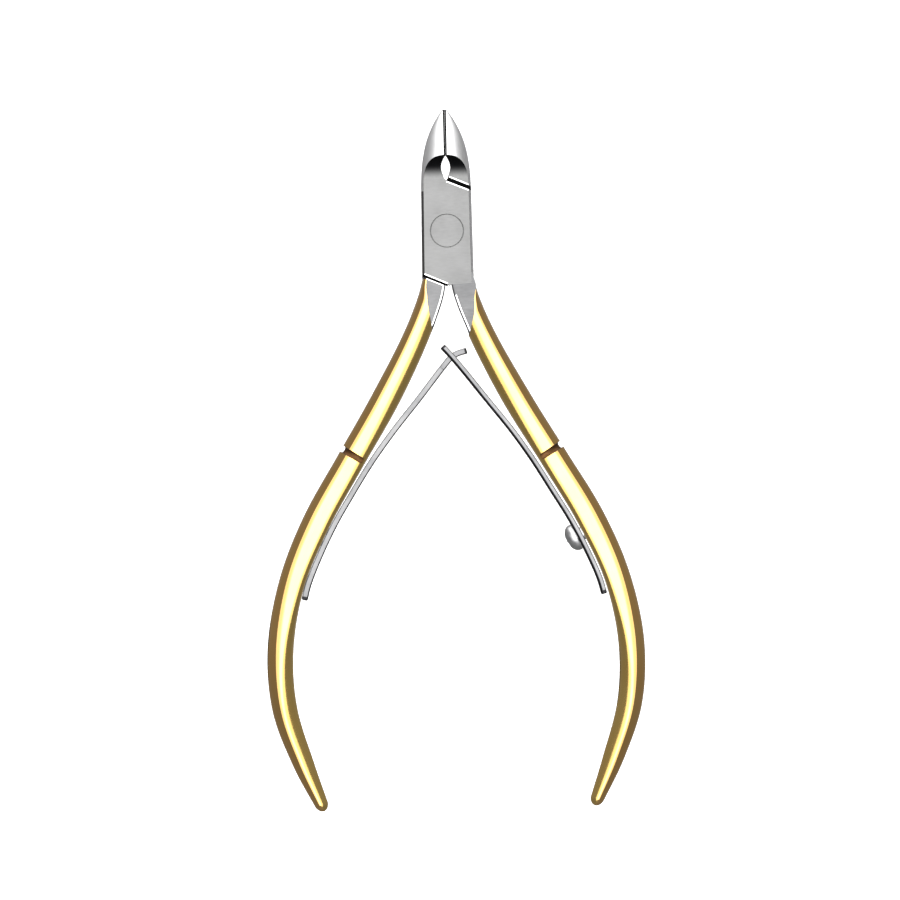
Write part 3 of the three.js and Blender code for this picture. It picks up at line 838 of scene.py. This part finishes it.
def handle_solid(hand, full_low, full_high):
    """The handle, whose root reaches under the plate between the heights full_low and full_high."""
    shares = ((i / HANDLE_RINGS) ** HANDLE_RING_BIAS for i in range(HANDLE_RINGS + 1))
    places = [((1 - HANDLE_END_ROUND) * share, 1.0) for share in shares]
    for i in range(1, HANDLE_END_RINGS):
        turn = math.pi / 2 * i / HANDLE_END_RINGS
        places.append((1 - HANDLE_END_ROUND * (1 - math.sin(turn)), math.cos(turn)))
    rings = [handle_ring(t, closing, hand) for t, closing in places]
    shelf = CREST_COLUMNS + INNER_COLUMNS
    bevel = shelf + TAIL_COLUMNS - 1
    wall_foot = shelf + TAIL_COLUMNS + WALL_COLUMNS

    def finish_at(r, i):
        column = min(i, 2 * wall_foot - 1 - i)
        y = handle_point(places[r][0])[0].y
        if y > BARE_ALL_ROUND_Y[hand]:
            return TAIL
        if y <= tail_end(hand) or column < shelf:
            # From the crest inward the gold is the lighter copy: painted light
            return GOLD if column < CREST_COLUMNS else GOLD_INNER_PAINTED_LIGHT
        return POLISH if column == bevel + 1 else TAIL

    handle = loft("handle", rings, GOLD, finish_at)
    (inner, inner_y), (outer, outer_y) = HANDLE_SHOULDER
    past = FAR * 4
    outline = [(inner, inner_y), (outer, outer_y), (past, outer_y), (past, -past), (inner, -past)]
    # Faces cut by the territories get the near-black lap finish: painted shade in the joint's gaps
    territory = prism("handle_territory", outline, -FAR, FAR, LAP_PAINTED_SHADE)
    root = [(inner, 0), (FAR, 0), (FAR, -FAR), (inner, -FAR)]
    combine(territory, prism("root_territory", root, full_low, full_high, LAP_PAINTED_SHADE), "UNION")
    combine(handle, territory, "INTERSECT")
    return handle


def parameter_at_y(point_at, y):
    low, high = 0.0, 1.0
    rising = point_at(1)[1] > point_at(0)[1]
    for _ in range(40):
        middle = (low + high) / 2
        if (point_at(middle)[1] < y) == rising:
            low = middle
        else:
            high = middle
    return middle


def groove(piece):
    """The finger groove, cut by a ring whose bore bites into the outer side and fades at the crest."""
    t = parameter_at_y(lambda share: handle_point(share)[0], GROOVE_Y)
    centre, along, outward = handle_point(t)
    half = GROOVE_WIDTH / 2
    wall = GROOVE_RING_RADIUS + GROOVE_RING_WALL
    segments = GROOVE_RING_SEGMENTS
    axis = Matrix.Rotation(GROOVE_TILT, 3, "Z") @ along
    side = Vector((-axis.y, axis.x, 0))
    place = centre + outward * GROOVE_RING_OFFSET
    section = [(wall, -half * GROOVE_RING_FLARE), (wall, half * GROOVE_RING_FLARE)]
    for i in range(GROOVE_STEPS + 1):
        turn = math.pi * i / GROOVE_STEPS
        section.append((GROOVE_RING_RADIUS + GROOVE_ROUND * (1 - math.sin(turn)), half * math.cos(turn)))
    rings = []
    for i in range(segments):
        turn = 2 * math.pi * i / segments
        out = side * math.cos(turn) + Vector((0, 0, math.sin(turn)))
        rings.append([place + out * radius + axis * level for radius, level in section])
    points = [p for ring in rings for p in ring]
    count = len(section)
    faces = []
    for i in range(segments):
        a, b = i * count, ((i + 1) % segments) * count
        for k in range(count):
            faces.append((a + k, a + (k + 1) % count, b + (k + 1) % count, b + k))
    # The groove's faces get the dark brown copy of the gold: painted shade
    combine(piece, make_object("groove", points, faces, GROOVE_PAINTED_SHADE), "DIFFERENCE")


# ---- levers ---------------------------------------------------------------------------------

def drill(piece, curve):
    """The blind hole in the handle that takes the spring's screw."""
    place, _, inward = curve.screw_place()
    radius = SHANK_RADIUS + SCREW_GAP
    bottom = -SPRING_THICKNESS / 2 - SHANK_LENGTH - SCREW_GAP
    screw_hole(piece, place, inward, [(0, bottom), (radius, bottom), (radius, HOLE_REACH), (0, HOLE_REACH)])


def lever(name, hand, body, curve):
    """One forging: jaw, half joint and handle, made with its handle on +X and mirrored for hand -1."""
    piece = head_blank()
    # Faces cut by the territories get the near-black lap finish: painted shade in the joint's gaps
    territory = prism("jaw_territory", JAW_TERRITORY, -2, FAR, LAP_PAINTED_SHADE)
    if hand > 0:
        z0, z1 = MIDDLE + LAP_GAP / 2, FAR - 1
    else:
        z0, z1 = -1, MIDDLE - LAP_GAP / 2
    combine(territory, prism("plate_territory", PLATE_TERRITORY, z0, z1, LAP_PAINTED_SHADE), "UNION")
    combine(piece, territory, "INTERSECT")
    grind_front(piece)
    combine(piece, handle_solid(hand, z0, z1), "UNION")
    seam_groove(piece)
    seam_relief(piece)
    face = JOINT_THICKNESS if hand > 0 else 0.0
    for ends in (PLATE_HEAD_EDGE, PLATE_FOOT_EDGE):
        edge_chamfer(piece, ends, face)
    edge_chamfer(piece, JAW_SHOULDER, JOINT_THICKNESS - face)
    edge_chamfer(piece, HANDLE_SHOULDER, JOINT_THICKNESS - face)
    rivet_hole(piece)
    groove(piece)
    if hand < 0:
        mirror_x(piece)
    drill(piece, curve)
    finish_shading(piece)
    piece.name = name
    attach(piece, body)
    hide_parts(name.removesuffix("_forging"))
    return piece


def rivet():
    top = JOINT_THICKNESS - RIVET_BELOW_PLATE
    ease = RIVET_EASE
    head, shank, seat = RIVET_RADIUS, RIVET_SHANK_RADIUS, RIVET_HEAD_DEPTH
    foot = RIVET_BELOW_PLATE
    profile = [(0, foot), (head - ease, foot), (head, foot + ease), (head, seat), (shank, seat),
               (shank, top - seat), (head, top - seat), (head, top - ease), (head - ease, top), (0, top)]
    piece = lathe("rivet_turned", profile, Vector(), (0, 0, 1), ROUND_SEGMENTS)
    give_material(piece, materials["satin"])
    finish_shading(piece)
    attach(piece, REAR)
    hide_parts("pivot_rivet")


def give_material(piece, material):
    piece.data.materials.clear()
    piece.data.materials.append(material)


# ---- springs --------------------------------------------------------------------------------

class SpringCurve:
    """A spring's centre line in plan, by length."""

    def __init__(self, free_end, hand):
        shift = TONGUE_SPRING_SHIFT if hand < 0 else 0.0
        free_y = -SPRING_BASE[-1][1]
        base = [(x + shift * smoothstep(-y, free_y, -SPRING_GRIP_Y), y) for x, y in SPRING_BASE]
        self.points = [(x * hand, y) for x, y in base + free_end]
        self.hand = hand
        samples = [self.at(i / SPRING_SAMPLES)[0] for i in range(SPRING_SAMPLES + 1)]
        steps = np.linalg.norm(np.diff(np.array(samples), axis=0), axis=1)
        self.travel = np.concatenate([[0], np.cumsum(steps)])
        self.length = self.travel[-1]

    def at(self, t):
        return catmull_rom(self.points, t)

    def frame_at(self, distance):
        t = np.interp(distance, self.travel, np.linspace(0, 1, len(self.travel)))
        centre, along = self.at(t)
        along = along / np.linalg.norm(along)
        return Vector((*centre, MIDDLE)), Vector((*along, 0)), Vector((-along[1], along[0], 0))

    def screw_place(self):
        t = parameter_at_y(lambda share: self.at(share)[0], SCREW_Y)
        centre, along = self.at(t)
        along = along / np.linalg.norm(along)
        inward = Vector((-along[1], along[0], 0)) * self.hand
        return Vector((*centre, MIDDLE)), Vector((*along, 0)), inward


def strip_section(thickness, width, inner_side, inner_radius):
    """Points (across the thickness, along Z): rounded edges, the inner ones ground to their own radius."""
    points = []
    for sx, sz, start in ((1, 1, 0), (-1, 1, 1), (-1, -1, 2), (1, -1, 3)):
        radius = inner_radius if sx == inner_side else SPRING_EDGE_RADIUS
        most_across, most_up = CORNER_SHARES
        across = min(radius, thickness * most_across)
        up = min(radius * CORNER_HEIGHT, width * most_up)
        for i in range(CORNER_STEPS + 1):
            turn = math.pi / 2 * (start + i / CORNER_STEPS)
            points.append((sx * (thickness / 2 - across) + across * math.cos(turn),
                           sz * (width / 2 - up) + up * math.sin(turn)))
    return points


def strip(name, curve, width_at, start, stop, inner_radius, painted_shade_ends):
    """A bent strip with rounded edges and eased ends, from one distance along the curve to another.

    painted_shade_ends are the lengths of the near-black painted shade at its start and at its end; the
    inner rounded edges carry the same painted shade.
    """
    rings = []
    ease = SPRING_EDGE_RADIUS
    steps = int((stop - start) * STRIP_RINGS_PER_MM)
    distances = [(start + ease * (1 - math.cos(math.pi / 2 * e)), e) for e in STRIP_END_SHARES]
    distances += [(start + ease + (stop - start - 2 * ease) * i / steps, 1.0) for i in range(1, steps)]
    distances += [(stop - ease * (1 - math.cos(math.pi / 2 * e)), e) for e in reversed(STRIP_END_SHARES)]
    for distance, e in distances:
        centre, along, side = curve.frame_at(distance)
        shrink = 2 * ease * (1 - math.sin(math.pi / 2 * e))
        thickness, width = SPRING_THICKNESS - shrink, width_at(distance) - shrink
        section = strip_section(thickness, width, curve.hand, inner_radius)
        rings.append([centre + side * a + Vector((0, 0, b)) for a, b in section])
    corner = CORNER_STEPS + 1
    inner_corners = (0, 3) if curve.hand > 0 else (1, 2)

    def finish_at(r, i):
        in_corner = i % corner < CORNER_STEPS
        distance, (painted_shade_base, painted_shade_tip) = distances[r][0], painted_shade_ends
        at_end = distance < start + painted_shade_base or distance > stop - painted_shade_tip
        # Ends and inner rounded edges get the near-black finish: painted shade
        if at_end or (in_corner and i // corner in inner_corners):
            return SPRING_EDGE_PAINTED_SHADE
        # The wide flat faces get the lighter copy of the spring steel: painted light
        return SPRING_FACE_PAINTED_LIGHT if not in_corner and i // corner in (1, 3) else SPRING

    return loft(name, rings, SPRING_EDGE_PAINTED_SHADE, finish_at)


def spring_width(curve):
    return lambda s: SPRING_WIDTH + (SPRING_NECK_WIDTH - SPRING_WIDTH) * s / curve.length


def screw_hole(piece, place, inward, profile):
    combine(piece, lathe("hole", profile, place, inward, SCREW_SEGMENTS), "DIFFERENCE")


def blend_ends(curve):
    """Where the spring leaves its own handle, and the point as far beyond the springs' crossing."""
    ends = []
    for y in (SPRING_GRIP_Y, SPRING_MEET_Y):
        point, _ = curve.at(parameter_at_y(lambda share: curve.at(share)[0], y))
        ends.append(Vector((*point, 0)))
    grip, crossing = ends
    return grip, 2 * crossing - grip


def finish_spring(piece, node, start, end):
    finish_shading(piece, 20)
    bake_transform(piece)
    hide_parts(node)


def slotted_spring(curve):
    painted_shade_ends = (SPRING_PAINTED_SHADE_END_LENGTH, SPRING_PAINTED_SHADE_END_LENGTH)
    width_at = spring_width(curve)
    piece = strip("right_spring_strip", curve, width_at, 0, curve.length, SPRING_GROUND_EDGE, painted_shade_ends)
    middle = curve.length - SLOT_END_BRIDGE - SLOT_LENGTH / 2
    centre, along, side = curve.frame_at(middle)
    sizes = (SLOT_LENGTH, SLOT_CUTTER_DEPTH, SLOT_WIDTH)
    combine(piece, box_solid("slot", centre, (along, side, (0, 0, 1)), sizes), "DIFFERENCE")
    place, _, inward = curve.screw_place()
    radius = SHANK_RADIUS + SCREW_GAP
    reach = HOLE_REACH
    screw_hole(piece, place, inward, [(0, -reach), (radius, -reach), (radius, reach), (0, reach)])
    grip, beyond = blend_ends(curve)
    finish_spring(piece, "right_leaf_spring", beyond, grip)


def tongue_spring(curve):
    body_end = curve.length - TONGUE_LENGTH
    radius, dark = SPRING_EDGE_RADIUS, SPRING_PAINTED_SHADE_END_LENGTH
    piece = strip("left_spring_strip", curve, spring_width(curve), 0, body_end, radius, (dark, 0))
    tongue_start = body_end - TONGUE_ROOT
    tongue = strip("tongue", curve, lambda s: TONGUE_WIDTH, tongue_start, curve.length, radius, (0, dark))
    combine(piece, tongue, "UNION")
    place, _, inward = curve.screw_place()
    face = SPRING_THICKNESS / 2
    throat = SHANK_RADIUS + SCREW_GAP
    rim = FLUSH_HEAD_RADIUS + SCREW_GAP
    profile = [(0, -HOLE_REACH), (throat, -HOLE_REACH), (throat, -face), (rim, face - SCREW_GAP),
               (rim, HOLE_REACH), (0, HOLE_REACH)]
    screw_hole(piece, place, inward, profile)
    finish_spring(piece, "left_leaf_spring", *blend_ends(curve))


# ---- screws ---------------------------------------------------------------------------------

def cross_recess(piece, place, along, inward, height):
    up = Vector((0, 0, 1))
    for way in (1, -1):
        arm = (along + up * way).normalized()
        other = (along - up * way).normalized()
        centre = place + inward * height
        sizes = (RECESS_LENGTH, RECESS_WIDTH, RECESS_DEPTH * 2)
        combine(piece, box_solid("recess", centre, (arm, other, inward), sizes), "DIFFERENCE")


def finish_screw(piece, node, body):
    give_material(piece, materials["screw"])
    finish_shading(piece, 25)
    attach(piece, body)
    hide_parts(node)


def pan_screw(curve):
    place, along, inward = curve.screw_place()
    seat = SPRING_THICKNESS / 2 + PAN_HEAD_CLEARANCE
    bottom = -SPRING_THICKNESS / 2 - SHANK_LENGTH
    ease = PAN_HEAD_EASE
    profile = [(0, bottom), (SHANK_RADIUS, bottom), (SHANK_RADIUS, seat), (PAN_HEAD_RADIUS - ease, seat),
               (PAN_HEAD_RADIUS, seat + ease), (PAN_HEAD_RADIUS, seat + PAN_HEAD_RIM)]
    top = seat + PAN_HEAD_HEIGHT + SCREW_GAP
    for i in range(1, PAN_HEAD_STEPS):
        turn = math.pi / 2 * i / PAN_HEAD_STEPS
        profile.append((PAN_HEAD_RADIUS * math.cos(turn),
                        seat + PAN_HEAD_RIM + (top - seat - PAN_HEAD_RIM) * math.sin(turn)))
    profile.append((0, top))
    piece = lathe("pan_head_screw", profile, place, inward, SCREW_SEGMENTS)
    cross_recess(piece, place, along, inward, top)
    finish_screw(piece, "right_spring_screw", FRONT)


def flush_screw(curve):
    place, along, inward = curve.screw_place()
    face = SPRING_THICKNESS / 2
    bottom = -face - SHANK_LENGTH
    rim, ease = FLUSH_HEAD_RADIUS, FLUSH_HEAD_EASE
    profile = [(0, bottom), (SHANK_RADIUS, bottom), (SHANK_RADIUS, -face), (rim, face - ease),
               (rim - ease, face), (0, face)]
    piece = lathe("flush_screw", profile, place, inward, SCREW_SEGMENTS)
    cross_recess(piece, place, along, inward, face)
    finish_screw(piece, "left_spring_screw", REAR)


# ---- the scene ------------------------------------------------------------------------------

make_camera()
make_floor()
make_world()
materials = make_materials()
finishes = [materials[name] for name in FINISHES]

slot_curve = SpringCurve(SLOT_END, 1)
tongue_curve = SpringCurve(TONGUE_END, -1)
lever("front_lever_forging", 1, FRONT, slot_curve)
lever("rear_lever_forging", -1, REAR, tongue_curve)
rivet()
slotted_spring(slot_curve)
tongue_spring(tongue_curve)
pan_screw(slot_curve)
flush_screw(tongue_curve)

scene.view_settings.view_transform = "Standard"
